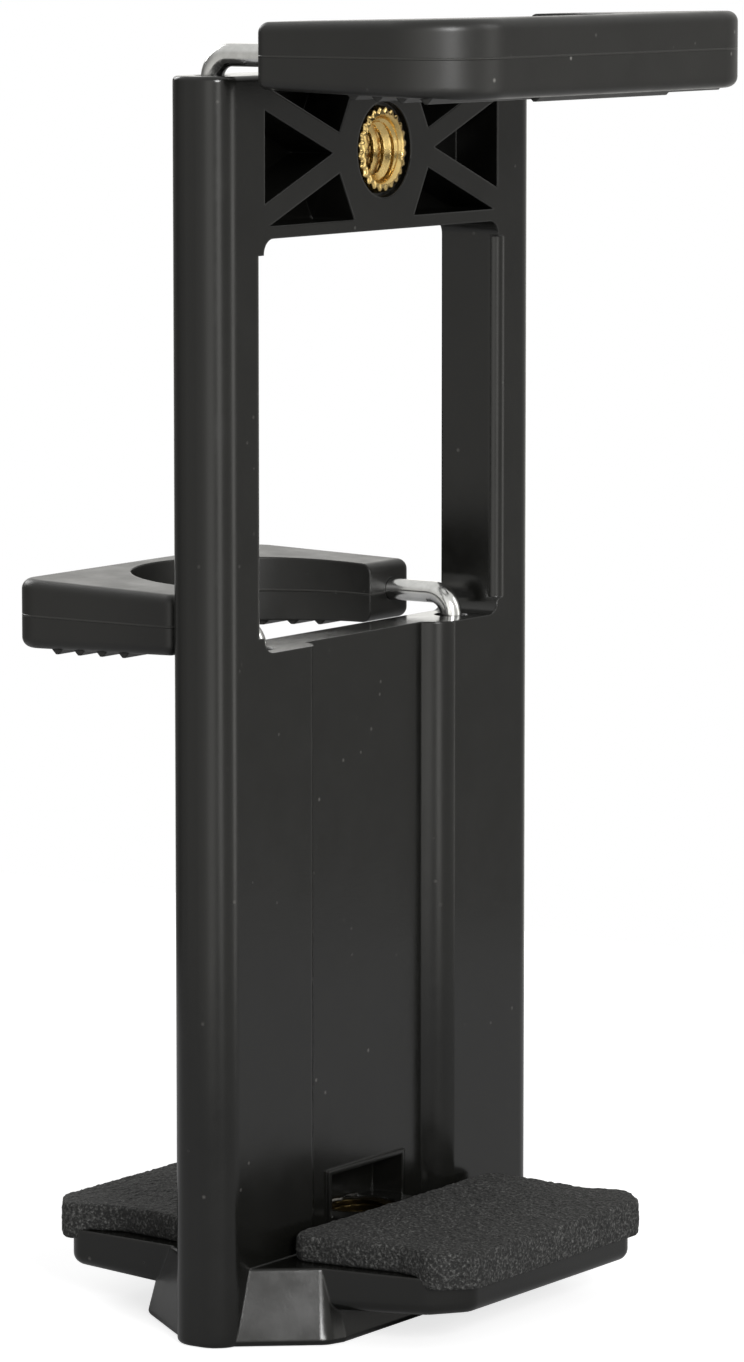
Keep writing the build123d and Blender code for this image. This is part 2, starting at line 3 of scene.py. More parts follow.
import bmesh
import bpy
import numpy as np
from bpy.props import FloatProperty, FloatVectorProperty, IntProperty, PointerProperty
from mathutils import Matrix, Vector


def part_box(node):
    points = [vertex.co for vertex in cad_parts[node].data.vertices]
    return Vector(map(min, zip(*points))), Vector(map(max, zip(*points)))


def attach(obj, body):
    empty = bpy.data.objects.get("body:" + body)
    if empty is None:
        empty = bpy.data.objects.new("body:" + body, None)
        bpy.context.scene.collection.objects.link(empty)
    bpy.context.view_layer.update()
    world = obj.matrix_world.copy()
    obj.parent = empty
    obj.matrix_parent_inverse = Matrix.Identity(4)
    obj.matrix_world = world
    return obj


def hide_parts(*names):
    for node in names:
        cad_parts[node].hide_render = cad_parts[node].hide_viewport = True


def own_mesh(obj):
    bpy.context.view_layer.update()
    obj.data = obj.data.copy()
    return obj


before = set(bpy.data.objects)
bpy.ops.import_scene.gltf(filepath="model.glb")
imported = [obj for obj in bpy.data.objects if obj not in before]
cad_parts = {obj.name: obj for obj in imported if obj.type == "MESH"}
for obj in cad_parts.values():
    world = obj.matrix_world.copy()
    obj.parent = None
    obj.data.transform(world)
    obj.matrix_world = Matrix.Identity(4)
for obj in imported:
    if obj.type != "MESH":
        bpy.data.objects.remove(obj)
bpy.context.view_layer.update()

bl_info = {
    "name": "Two-jaw tripod holder",
    "version": (1, 0, 0),
    "blender": (4, 5, 0),
    "location": "View3D > Sidebar > Holder",
    "description": "Finishes, foam pads, threaded sockets, coil springs and stage of a two-jaw tripod holder",
    "category": "Object",
}

MM = 0.001
JAWS = ("tablet", "phone")
SIDES = ("left", "right")
COVER_SCREWS = 4

# Finishes that are not settings
RIM_ROUNDING = 0.32 * MM      # sharp moulded rims look rounded by this radius
SEAM_HEIGHTS = {"tablet": 128.9 * MM, "phone": 71.4 * MM}  # mould line round each arm
SEAM_CORE = 0.04 * MM         # half width of the mould line's full height
SEAM_REACH = 0.14 * MM        # half width where it has faded out
DUST = (0.32, 0.31, 0.29, 1.0)
BLACKENED = (0.30, 0.30, 0.31)
SPRING_GREY = (0.50, 0.50, 0.50)
SHADED_BRASS_Z = 7.6 * MM          # painted shade makes the lower socket's brass nearly black above this height

# Foam pads and the foot plates under them, in millimetres
FOAM_SEAT_Z = 7.65            # flat underside on the plate
FOAM_LIP_Z = 6.6              # foot of the rim that hangs past the plate
FOAM_CORNER_R = 1.7
FOAM_OVERHANG = 1.0           # how far a pad reaches out past its plate
FOAM_ROOT_HALF = 18.8         # half width beside the body
FOAM_WAIST = (17.5, 17.0)     # half width at the narrowest place, and how far that lies from y = 0
FOAM_CORNERS = {"front": (18.7, 21.8), "rear": (19.6, 23.4)}
PLATE_ROOT = (19.9, 8.6)
PLATE_CORNERS = {"front": (18.2, 20.8), "rear": (19.0, 22.4)}
CORNER_CUT = 3.4              # how far the slanted corners of pads and plates reach in
SIDE_INSET = 0.05             # a pad's side stands this far inside its outline at foot and edge
SIDE_BULGE = 0.10             # and swells by this much between them
RIM_FOOT = 0.2                # height of the slant at the rim's foot
FOAM_GRAINS = ((0.6, 0.46, 3), (0.4, 0.27, 8))  # share, cell size and seed of coarse and fine grain

# Sockets, in millimetres
BORE_R = 2.6                  # crest of the thread, as in the solids
KNURL_DEPTH = 0.34
FACE_STEP = 0.75              # the flat end faces start this far inside the rim
THREAD_END_GAP = 0.05         # clearance past the thread's root at its ends
MOUTH_FROM, MOUTH_TO = 1.25, 0.55  # heights between which the thread widens into the mouth
TOOTH_STEPS = 10              # points round the rim for each knurled tooth
THREAD_STEPS = 16             # rings for each turn of the thread
BASE_THREAD_SHORT = 0.45      # the lower thread's upper end lies this far below its solid's

# Springs, each coiled over the length of its solid
SPRING_CREEP = 0.03           # share of the climb that the flat turns have part in
TURN_STEPS = 18               # rings of wire in a turn
WIRE_SIDES = 6

# Stage, in metres and degrees
FLOOR_HALF = 0.2
FLOOR_DROP = 0.02 * MM
FLOOR_GLOW = 0.74             # light that the floor gives to the camera alone, which makes it white
LIGHT_TARGET = (0.0, 0.0, 0.07)
LAMP_DISTANCE = 1.2
# Name, azimuth, elevation, width and height, and the setting that holds the power
LAMPS = (("Key light", 234, 20, (0.30, 0.35), "key"), ("Side light", 300, 30, (0.35, 0.5), "side"),
         ("Back light", 70, 28, (0.5, 0.5), "back"))
CAMERA_PLACE = (-0.519665, -0.352529, 0.144659)
CAMERA_AIM = (0.82230, 0.55465, -0.12695)
CAMERA_LENS = 162.86
CEILING = (0.40, 0.40, 0.39, 1)

# Bearing in degrees from +X towards +Y, and how bright the room is there near the horizon
ROOM = ((-179.9, 0.43), (-164, 0.70), (-150, 0.72), (-140, 0.46), (-132, 0.42), (-126, 1.0), (-118, 1.0),
        (-110, 0.34), (-92, 0.30), (-72, 0.32), (-66, 1.0), (-56, 1.0), (-50, 0.24), (-34, 0.17), (-10, 0.18),
        (15, 0.40), (34, 0.85), (48, 0.36), (60, 0.10), (102, 0.09), (124, 0.20), (146, 0.30), (165, 0.36),
        (179.9, 0.43))


# Mesh code


def add_piece(name, points, material, closed_rows=False):
    """Make an object of a grid of points with shape (rows, columns, 3), in millimetres.

    Every row is a closed ring of columns. Neighbouring rows are joined by quads, the last row joins
    the first when closed_rows is set, and otherwise each end is closed by a fan round its middle.
    """
    rows, cols, _ = points.shape
    index = np.arange(rows * cols).reshape(rows, cols)
    low = index if closed_rows else index[:-1]
    top = np.roll(index, -1, axis=0) if closed_rows else index[1:]
    quads = np.stack([low, np.roll(low, -1, axis=1), np.roll(top, -1, axis=1), top], axis=-1)
    faces = quads.reshape(-1, 4).tolist()
    verts = points.reshape(-1, 3)
    if not closed_rows:
        verts = np.vstack([verts, points[0].mean(axis=0), points[-1].mean(axis=0)])
        first, last = rows * cols, rows * cols + 1
        ring, after = index[0], np.roll(index[0], -1)
        faces += np.stack([after, ring, np.full(cols, first)], axis=1).tolist()
        ring, after = index[-1], np.roll(index[-1], -1)
        faces += np.stack([ring, after, np.full(cols, last)], axis=1).tolist()
    mesh = bpy.data.meshes.new(name)
    mesh.from_pydata((verts * MM).tolist(), [], faces)
    mesh.validate()
    mesh.polygons.foreach_set("use_smooth", np.full(len(mesh.polygons), True))
    mesh.materials.append(material)
    turn_outward(mesh)
    piece = bpy.data.objects.new(name, mesh)
    bpy.context.scene.collection.objects.link(piece)
    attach(piece, "body")
    return piece


def turn_outward(mesh):
    """Turn the faces of a closed mesh outwards."""
    work = bmesh.new()
    work.from_mesh(mesh)
    bmesh.ops.recalc_face_normals(work, faces=work.faces)
    work.to_mesh(mesh)
    work.free()


def smooth_step(start, end, value):
    """0 before start, 1 past end, and a smooth S between."""
    t = np.clip((value - start) / (end - start), 0, 1)
    return t * t * (3 - 2 * t)


def rounded_outline(corners, radius, count, arc_steps=9):
    """Closed outline through the corners, each cut off by a round of the given radius, sampled evenly.

    A corner's round is the circle that touches both of its sides. The outline is the straight sides
    and the chords of those arcs, taken at equal steps of length.
    """
    pts = np.array(corners, float)
    before = np.roll(pts, 1, axis=0) - pts
    after = np.roll(pts, -1, axis=0) - pts
    before /= np.linalg.norm(before, axis=1, keepdims=True)
    after /= np.linalg.norm(after, axis=1, keepdims=True)
    half = np.arccos(np.clip((before * after).sum(axis=1), -1, 1)) / 2
    bisector = before + after
    bisector /= np.linalg.norm(bisector, axis=1, keepdims=True)
    centre = pts + bisector * (radius / np.sin(half))[:, None]
    start = pts + before * (radius / np.tan(half))[:, None]
    end = pts + after * (radius / np.tan(half))[:, None]
    t = np.linspace(0, 1, arc_steps)[None, :, None]
    chord = start[:, None, :] * (1 - t) + end[:, None, :] * t
    away = chord - centre[:, None, :]
    away /= np.linalg.norm(away, axis=2, keepdims=True)
    path = (centre[:, None, :] + away * radius).reshape(-1, 2)
    closed = np.vstack([path, path[:1]])
    run = np.concatenate([[0], np.cumsum(np.linalg.norm(np.diff(closed, axis=0), axis=1))])
    at = np.linspace(0, run[-1], count, endpoint=False)
    return np.stack([np.interp(at, run, closed[:, i]) for i in (0, 1)], axis=1)


def distance_past(points, chain):
    """Signed distance of points past a chain of straight sides, which bends one way.

    It is the largest of the distances from the sides' lines, each along the side's outward normal.
    """
    along = np.diff(chain, axis=0)
    along /= np.linalg.norm(along, axis=1, keepdims=True)
    normal = np.stack([along[:, 1], -along[:, 0]], axis=1)
    return ((points[:, None, :] - chain[None, :-1, :]) * normal[None]).sum(axis=2).max(axis=1)


def grain(points, cell, seed, lattice=32):
    """Smooth random height between -1 and 1, for foam cells of the given size.

    Random numbers sit on a cubic lattice, and a point's height is their blend over the eight corners
    round it, weighted by the smooth S of its place between them.
    """
    table = np.random.default_rng(seed).uniform(-1, 1, (lattice, lattice, lattice))
    place = points / cell
    low = np.floor(place).astype(int)
    t = place - low
    t = t * t * (3 - 2 * t)
    height = np.zeros(points.shape[:-1])
    for corner in np.ndindex(2, 2, 2):
        at = (low + corner) % lattice
        weight = np.prod(np.where(np.array(corner) == 1, t, 1 - t), axis=-1)
        height += weight * table[at[..., 0], at[..., 1], at[..., 2]]
    return height


def roughened(points, bare, depth):
    """Points moved along the surface's normal by foam grain, as far as bare says from 0 to 1.

    The normal is the cross product of the grid's two directions, turned upwards on the top, and the
    height is the sum of each grain times its share.
    """
    across = np.gradient(points, axis=0)
    along = np.roll(points, -1, axis=1) - np.roll(points, 1, axis=1)
    normal = np.cross(along, across)
    normal /= np.maximum(np.linalg.norm(normal, axis=2, keepdims=True), 1e-9)
    normal *= np.sign(normal[-2, 0, 2])
    height = sum(share * grain(points, cell, seed) for share, cell, seed in FOAM_GRAINS)
    return points + normal * bare[..., None] * depth * height[..., None]


# Materials


def rgba(colour, factor=1.0):
    """Opaque colour, made brighter or darker by a factor."""
    return tuple(c * factor for c in colour) + (1.0,)


class Nodes:
    """Short way to fill a node tree, with a node's inputs given by name or number."""

    def __init__(self, tree):
        self.tree = tree

    def feed(self, socket, value):
        """Link an input to another node's output, or set its value."""
        if isinstance(value, bpy.types.NodeSocket):
            self.tree.links.new(value, socket)
        else:
            socket.default_value = value

    def add(self, kind, settings=None, inputs=None):
        """A new node with its settings and inputs."""
        node = self.tree.nodes.new(kind)
        for key, value in (settings or {}).items():
            setattr(node, key, value)
        for key, value in (inputs or {}).items():
            self.feed(node.inputs[key], value)
        return node

    def maths(self, operation, *values):
        """Result of an arithmetic step on numbers or other nodes' outputs."""
        return self.add("ShaderNodeMath", {"operation": operation}, dict(enumerate(values))).outputs[0]

    def fade(self, value, start, end, first=0.0, last=1.0, curve="SMOOTHSTEP"):
        """Number that runs from first to last while value goes from start to end."""
        node = self.add("ShaderNodeMapRange", {"interpolation_type": curve},
                        {"Value": value, "From Min": start, "From Max": end, "To Min": first, "To Max": last})
        return node.outputs["Result"]

    def ramp(self, value, stops):
        """Colour ramp with (place, grey or colour) stops."""
        node = self.add("ShaderNodeValToRGB", inputs={"Fac": value})
        band = node.color_ramp
        while len(band.elements) < len(stops):
            band.elements.new(0.5)
        for element, (place, shade) in zip(band.elements, stops):
            element.position = place
            element.color = (*shade, 1) if hasattr(shade, "__len__") else (shade, shade, shade, 1)
        return node.outputs["Color"]

    def mix(self, share, first, second, blend="MIX"):
        """Mix of two colours. A Mix node's colours are its inputs 6 and 7 and its output 2."""
        node = self.add("ShaderNodeMix", {"data_type": "RGBA", "blend_type": blend},
                        {0: share, 6: first, 7: second})
        return node.outputs[2]

    def mix_shaders(self, share, first, second):
        """Mix of two shaders."""
        return self.add("ShaderNodeMixShader", inputs={0: share, 1: first, 2: second}).outputs[0]


class Material(Nodes):
    """Nodes of a new material. Its patterns lie on Object coordinates, so a scale is cells in a metre."""

    def __init__(self, name):
        self.material = bpy.data.materials.new(name)
        self.material.use_nodes = True
        super().__init__(self.material.node_tree)
        self.shader = self.tree.nodes["Principled BSDF"]
        self.coords = self.add("ShaderNodeTexCoord").outputs["Object"]

    def height(self):
        """Height over the underside."""
        return self.add("ShaderNodeSeparateXYZ", inputs={"Vector": self.coords}).outputs["Z"]

    def stretched(self, scales):
        """Object coordinates times a scale for each axis."""
        node = self.add("ShaderNodeMapping", inputs={"Vector": self.coords, "Scale": scales})
        return node.outputs["Vector"]

    def noise(self, scale, detail=3.0, rough=0.5, vector=None):
        """Cloudy noise."""
        node = self.add("ShaderNodeTexNoise", inputs={
            "Vector": vector or self.coords, "Scale": scale, "Detail": detail, "Roughness": rough})
        return node.outputs["Fac"]

    def cells(self, scale):
        """Distance from the nearest of many scattered points."""
        node = self.add("ShaderNodeTexVoronoi", inputs={
            "Vector": self.coords, "Scale": scale, "Randomness": 1.0})
        return node.outputs["Distance"]

    def bump(self, height, strength, distance, normal=None):
        """Normal of a bumpy surface, on top of another normal where one is given."""
        node = self.add("ShaderNodeBump", inputs={
            "Height": height, "Strength": strength, "Distance": distance})
        if normal is not None:
            self.feed(node.inputs["Normal"], normal)
        return node.outputs["Normal"]

    def rounded_rims(self, radius):
        """Normal that rounds off sharp rims by a small radius, as moulding does."""
        return self.add("ShaderNodeBevel", {"samples": 6}, {"Radius": radius}).outputs["Normal"]

    def finish(self, inputs):
        """Set the shader's inputs and return the material."""
        for key, value in inputs.items():
            self.feed(self.shader.inputs[key], value)
        return self.material


def moulded_plastic(name, colour, roughness, dust, mottle, seam_z=None):
    """Moulded plastic: faint mottling, fine tooling grain, pale specks, and a raised mould line at seam_z
    with a painted highlight along it.
    """
    n = Material(name)
    patches = n.ramp(n.noise(70.0, 4.0, 0.6), [(0.3, 0.0), (0.7, 1.0)])
    shade = n.mix(patches, rgba(colour, 1 - mottle), rgba(colour, 1 + mottle))
    spots = n.ramp(n.cells(380.0), [(0.0, 1.0), (0.10, 0.0)])
    chosen = n.ramp(n.noise(140.0, 2.0), [(0.50, 0.0), (0.60, 1.0)])
    specks = n.mix(1.0, spots, chosen, "MULTIPLY")
    shade = n.mix(n.ramp(specks, [(0.0, 0.0), (1.0, dust)]), shade, DUST)
    worn = n.ramp(n.noise(210.0, 5.0, 0.65), [(0.25, roughness - 0.06), (0.75, roughness + 0.07)])
    wavy = n.bump(n.noise(38.0, 2.0), 0.25, 0.4 * MM, n.rounded_rims(RIM_ROUNDING))
    surface = n.bump(n.noise(4200.0, 2.0, 0.7), 0.10, 0.04 * MM, wavy)
    if seam_z is not None:
        away = n.maths("ABSOLUTE", n.maths("SUBTRACT", n.height(), seam_z))
        line = n.fade(away, SEAM_CORE, SEAM_REACH, 1.0, 0.0)
        surface = n.bump(line, 0.8, 0.1 * MM, surface)
        # painted highlight: the mould line's colour is lightened where its ridge would catch light
        shade = n.mix(line, shade, rgba(colour, 2.6))
    return n.finish({"Base Color": shade, "Roughness": worn, "Normal": surface})


def closed_foam(name, colour):
    """Closed-cell foam: coarse pale and dark speckle, pitted and dull."""
    n = Material(name)
    fine = n.noise(3400.0, 2.0, 0.6)
    speckle = n.ramp(fine, [(0.44, 0.0), (0.60, 0.35), (0.70, 1.0)])
    shade = n.mix(speckle, rgba(colour, 0.30), rgba(colour, 5.0))
    patches = n.ramp(n.noise(150.0, 3.0), [(0.3, 0.86), (0.7, 1.1)])
    pitted = n.mix(0.45, fine, n.cells(2600.0))
    return n.finish({"Base Color": n.mix(1.0, shade, patches, "MULTIPLY"),
                     "Roughness": n.ramp(fine, [(0.2, 0.78), (0.8, 0.98)]),
                     "Normal": n.bump(pitted, 0.85, 0.3 * MM)})


def turned_metal(name, colour, roughness, along, scratch=0.35, painted_shade_z=None):
    """Metal with fine marks stretched along one axis and a few dull patches; painted shade makes it nearly
    black above the height given for it.
    """
    n = Material(name)
    scales = [1900.0, 1900.0, 1900.0]
    scales[along] = 120.0
    marks = n.noise(1.0, 4.0, 0.7, n.stretched(scales))
    dull = n.ramp(n.noise(420.0, 4.0, 0.6), [(0.35, 0.0), (0.75, 1.0)])
    tint = n.mix(dull, rgba(colour), rgba(colour, 0.72))
    if painted_shade_z is not None:
        # painted shade: the colour fades to nearly black above the given height
        painted_shade = n.fade(n.height(), painted_shade_z - MM, painted_shade_z, curve="LINEAR")
        tint = n.mix(painted_shade, tint, rgba(colour, 0.06))
    rough = n.ramp(marks, [(0.25, roughness - 0.07), (0.8, roughness + 0.16)])
    return n.finish({"Base Color": tint, "Metallic": 1.0, "Roughness": rough,
                     "Normal": n.bump(marks, scratch, 0.03 * MM)})


def wear(node, material):
    """Give a CAD node its finish."""
    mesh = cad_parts[node].data
    mesh.materials.clear()
    mesh.materials.append(material)


# Settings


class HolderFinish(bpy.types.PropertyGroup):
    """Colours and roughness of the materials."""
    body_colour: FloatVectorProperty(
        name="Body colour", description="Colour of the moulded body",
        subtype="COLOR", default=(0.0056, 0.0056, 0.0048), min=0, max=1)
    body_roughness: FloatProperty(
        name="Body roughness", description="How dull the body is",
        subtype="FACTOR", default=0.19, min=0, max=1)
    arm_colour: FloatVectorProperty(
        name="Arm colour", description="Colour of both arms",
        subtype="COLOR", default=(0.0082, 0.0080, 0.0070), min=0, max=1)
    arm_roughness: FloatProperty(
        name="Arm roughness", description="How dull the arms are",
        subtype="FACTOR", default=0.39, min=0, max=1)
    steel_colour: FloatVectorProperty(
        name="Rod colour", description="Colour of the bent rods",
        subtype="COLOR", default=(0.78, 0.78, 0.77), min=0, max=1)
    brass_colour: FloatVectorProperty(
        name="Brass colour", description="Colour of the sockets",
        subtype="COLOR", default=(0.83, 0.60, 0.24), min=0, max=1)
    foam_colour: FloatVectorProperty(
        name="Foam colour", description="Middle colour of the foam",
        subtype="COLOR", default=(0.026, 0.026, 0.025), min=0, max=1)


class FoamShape(bpy.types.PropertyGroup):
    """Sizes of the foam pads' surface."""
    crown: FloatProperty(
        name="Crown", description="How far a pad swells over its middle",
        unit="LENGTH", default=0.15 * MM, min=0)
    edge: FloatProperty(
        name="Edge", description="Rounding of a pad's upper edge",
        unit="LENGTH", default=0.45 * MM, min=0)
    grain: FloatProperty(
        name="Grain", description="Height of the foam's cells",
        unit="LENGTH", default=0.12 * MM, min=0)
    columns: IntProperty(
        name="Columns", description="Points round a pad's outline",
        default=600, min=60)


class SocketShape(bpy.types.PropertyGroup):
    """Sizes of the sockets' thread and knurls."""
    pitch: FloatProperty(
        name="Pitch", description="Pitch of the quarter inch thread",
        unit="LENGTH", default=1.27 * MM, min=0.1 * MM)
    root_radius: FloatProperty(
        name="Root radius", description="Radius at the bottom of the thread",
        unit="LENGTH", default=3.2 * MM, min=0)
    teeth: IntProperty(
        name="Teeth", description="Knurled teeth round the rim",
        default=24, min=6)


class SpringShape(bpy.types.PropertyGroup):
    """Sizes of the coil springs."""
    tablet_turns: IntProperty(
        name="Tablet turns", description="Turns of each long spring",
        default=74, min=4)
    phone_turns: IntProperty(
        name="Phone turns", description="Turns of each short spring",
        default=46, min=4)
    wire: FloatProperty(
        name="Wire", description="Diameter of the spring wire",
        unit="LENGTH", default=0.46 * MM, min=0)


class StageLight(bpy.types.PropertyGroup):
    """Strength of the lamps and of the room."""
    key: FloatProperty(
        name="Key light", description="Power of the tall soft lamp left of the camera",
        subtype="POWER", default=9.0, min=0)
    side: FloatProperty(
        name="Side light", description="Power of the lamp on the right",
        subtype="POWER", default=1.6, min=0)
    back: FloatProperty(
        name="Back light", description="Power of the lamp behind the object",
        subtype="POWER", default=3.5, min=0)
    fill: FloatProperty(
        name="Fill", description="Strength of the light from all round",
        default=0.42, min=0)
    mirrored: FloatProperty(
        name="Mirrored room", description="Strength of the room that gloss mirrors",
        default=2.0, min=0)


GROUPS = {"holder_finish": HolderFinish, "holder_foam": FoamShape, "holder_sockets": SocketShape,
          "holder_springs": SpringShape, "holder_stage": StageLight}


# Pieces of the CAD model


class HOLDER_OT_mouldings(bpy.types.Operator):
    """Finish the moulded body and its cover"""
    bl_idname = "holder.mouldings"
    bl_label = "Body and cover"

    def execute(self, context):
        look = context.scene.holder_finish
        gloss = moulded_plastic("Body plastic", look.body_colour, look.body_roughness, dust=0.35, mottle=0.22)
        wear("frame", gloss)
        wear("base_cover", gloss)
        return {"FINISHED"}


class HOLDER_OT_arms(bpy.types.Operator):
    """Finish the tablet arm and the phone arm"""
    bl_idname = "holder.arms"
    bl_label = "Arms"

    def execute(self, context):
        look = context.scene.holder_finish
        for jaw in JAWS:
            satin = moulded_plastic(f"Satin {jaw}_arm", look.arm_colour, look.arm_roughness, dust=0.8,
                                    mottle=0.28, seam_z=SEAM_HEIGHTS[jaw])
            wear(f"{jaw}_arm", satin)
        return {"FINISHED"}


class HOLDER_OT_metal(bpy.types.Operator):
    """Finish the bent rods, their collars and the cover screws"""
    bl_idname = "holder.metal"
    bl_label = "Rods, collars and screws"

    def execute(self, context):
        look = context.scene.holder_finish
        bright = turned_metal("Rod steel", look.steel_colour, 0.15, along=2)
        dark = turned_metal("Blackened steel", BLACKENED, 0.42, along=0)
        for side in SIDES:
            for jaw in JAWS:
                wear(f"{jaw}_rod_{side}", bright)
                wear(f"{jaw}_collar_{side}", dark)
        for number in range(1, COVER_SCREWS + 1):
            wear(f"cover_screw_{number}", dark)
        return {"FINISHED"}


# Foam pads


def pad_corners(name, side, near, far):
    """Corners of a pad: its root beside the body, waist, corner and tip at +X, and their mirror images."""
    corner_x, corner_y = FOAM_CORNERS[name]
    right = [(FOAM_ROOT_HALF, side * near), (FOAM_WAIST[0], side * FOAM_WAIST[1]),
             (corner_x, side * corner_y), (corner_x - CORNER_CUT, side * far)]
    return right + [(-x, y) for x, y in reversed(right)]


def plate_chain(name, far):
    """Sides of the foot plate at +X, from its root round the corner to the middle of its tip."""
    corner_x, corner_y = PLATE_CORNERS[name]
    reach = far - FOAM_OVERHANG
    return np.array([PLATE_ROOT, (corner_x, corner_y), (corner_x - CORNER_CUT, reach), (0, reach)])


def pad_surface(outline, past, top_z, shape):
    """Foam pad as rings from near the middle of its underside to near the middle of its top.

    A ring is the outline drawn in by a distance, or to a share of its way from the middle. Its height
    follows the section: flat underside, a rim that hangs to the lip wherever past says that the
    outline stands outside the plate, a side that bulges by half a sine wave, a quarter round at the
    upper edge, and a top whose rise is the crown times one less the cube of the way left to the middle.
    """
    middle = np.array([0.0, (outline[:, 1].min() + outline[:, 1].max()) / 2])
    away = outline - middle
    reach = np.linalg.norm(away, axis=1, keepdims=True)
    low = FOAM_SEAT_Z - smooth_step(-0.35, 0.35, past) * (FOAM_SEAT_Z - FOAM_LIP_Z)
    edge, crown = shape.edge / MM, shape.crown / MM
    edge_foot = top_z - edge
    rings = []

    def ring(share, height):
        rings.append(np.column_stack([middle + away * share, np.broadcast_to(height, len(outline))]))

    # Underside and rim
    for share in (0.35, 0.7):
        ring(share, FOAM_SEAT_Z)
    for inset, height in ((1.15, FOAM_SEAT_Z), (0.95, low + 0.1), (0.75, low), (0.25, low),
                          (0.06, low + RIM_FOOT)):
        ring(1 - inset / reach, height)
    # Side, upper edge and top
    for t in np.linspace(0, 1, 15)[1:-1]:
        inset = SIDE_INSET - SIDE_BULGE * math.sin(math.pi * t)
        ring(1 - inset / reach, low + RIM_FOOT + t * (edge_foot - low - RIM_FOOT))
    for angle in np.radians(np.linspace(0, 90, 9)):
        inset = SIDE_INSET + edge * (1 - math.cos(angle))
        ring(1 - inset / reach, top_z - edge * (1 - math.sin(angle)) - crown)
    for way in np.linspace(0, 1, 96)[1:-1]:
        swell = crown * (1 - (1 - way) ** 3)
        ring((1 - way) * (1 - (SIDE_INSET + edge) / reach), top_z - crown + swell)
    points = np.stack(rings)
    bare = smooth_step(low + 0.15, low + 0.6, points[..., 2])
    return roughened(points, bare, shape.grain / MM)


class HOLDER_OT_foam(bpy.types.Operator):
    """Make the two crowned foam pads"""
    bl_idname = "holder.foam"
    bl_label = "Foam pads"

    def execute(self, context):
        shape = context.scene.holder_foam
        foam = closed_foam("Closed foam", context.scene.holder_finish.foam_colour)
        for name, side in (("front", -1), ("rear", 1)):
            node = f"{name}_foam_pad"
            low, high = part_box(node)
            near, far = sorted(abs(y) / MM for y in (low.y, high.y))
            outline = rounded_outline(pad_corners(name, side, near, far), FOAM_CORNER_R, shape.columns)
            past = distance_past(np.abs(outline), plate_chain(name, far))
            pad = add_piece(f"{name}_pad", pad_surface(outline, past, high.z / MM, shape), foam)
            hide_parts(node)
        return {"FINISHED"}


# Sockets


def threaded_socket(shape, length, radius):
    """Knurled socket along +Z as rings round its axis, mouth at z = 0.

    The outer radius falls from tooth tip to tooth root as a triangle wave of the angle. In the bore
    the radius runs between the thread's crest and root as a blunt triangle wave of height over
    pitch plus angle over a full turn, which makes the helix.
    """
    angle = np.linspace(0, 2 * np.pi, shape.teeth * TOOTH_STEPS, endpoint=False)
    wave = np.abs((angle * shape.teeth / (2 * np.pi)) % 1 * 2 - 1)
    rim = radius - KNURL_DEPTH * np.clip(wave * 1.5 - 0.25, 0, 1)
    face = radius - FACE_STEP
    root, pitch = shape.root_radius / MM, shape.pitch / MM
    wide = root + THREAD_END_GAP
    rows = [(rim - 0.12, 0.16), (rim - 0.02, 0.3), (rim, 0.5), (rim, length * 0.5), (rim, length - 0.4),
            (rim - 0.15, length - 0.05), (face, length), (wide, length)]
    for z in np.linspace(length - 0.02, MOUTH_TO, int(length / pitch * THREAD_STEPS)):
        phase = (z / pitch + angle / (2 * np.pi)) % 1
        tooth = np.clip(np.abs(phase * 2 - 1) * 1.35 - 0.175, 0, 1)
        thread = BORE_R + (root - BORE_R) * tooth
        rows.append((thread + (wide - thread) * smooth_step(MOUTH_FROM, MOUTH_TO, z), z))
    rows += [(root + 0.08, 0.42), (root + 0.30, 0.12), (root + 0.42, 0.03),
             (np.minimum(rim - 0.5, face), 0.0), (rim - 0.28, 0.05)]
    radii, heights = (np.stack([np.broadcast_to(value, angle.shape) for value in column])
                      for column in zip(*rows))
    return np.stack([radii * np.cos(angle), radii * np.sin(angle), heights], axis=-1)


def seat_socket(name, points, brass):
    """Put a threaded surface in the place of the plain socket."""
    piece = add_piece(f"{name}_thread", points, brass, closed_rows=True)
    piece.data.set_sharp_from_angle(angle=math.radians(38))
    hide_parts(f"{name}_socket")


class HOLDER_OT_sockets(bpy.types.Operator):
    """Make the two knurled brass sockets with their threads"""
    bl_idname = "holder.sockets"
    bl_label = "Threaded sockets"

    def execute(self, context):
        shape = context.scene.holder_sockets
        colour = context.scene.holder_finish.brass_colour
        brass = turned_metal("Brass", colour, 0.20, along=1, scratch=0.5)
        # The lower socket's brass is darker overall, and painted shade makes its upper end nearly black
        darker_brass = turned_metal("Tarnished brass", [0.75 * c for c in colour], 0.40, along=2, scratch=0.5,
                                 painted_shade_z=SHADED_BRASS_Z)
        low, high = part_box("top_socket")
        x, y, z = np.moveaxis(threaded_socket(shape, (high.y - low.y) / MM, (high.x - low.x) / 2 / MM), -1, 0)
        centre_z = (low.z + high.z) / 2 / MM
        seat_socket("top", np.stack([x, low.y / MM + z, centre_z - y], axis=-1), brass)
        low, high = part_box("base_socket")
        length = (high.z - low.z) / MM - BASE_THREAD_SHORT
        seat_socket("base", threaded_socket(shape, length, (high.x - low.x) / 2 / MM), darker_brass)
        return {"FINISHED"}


# Springs


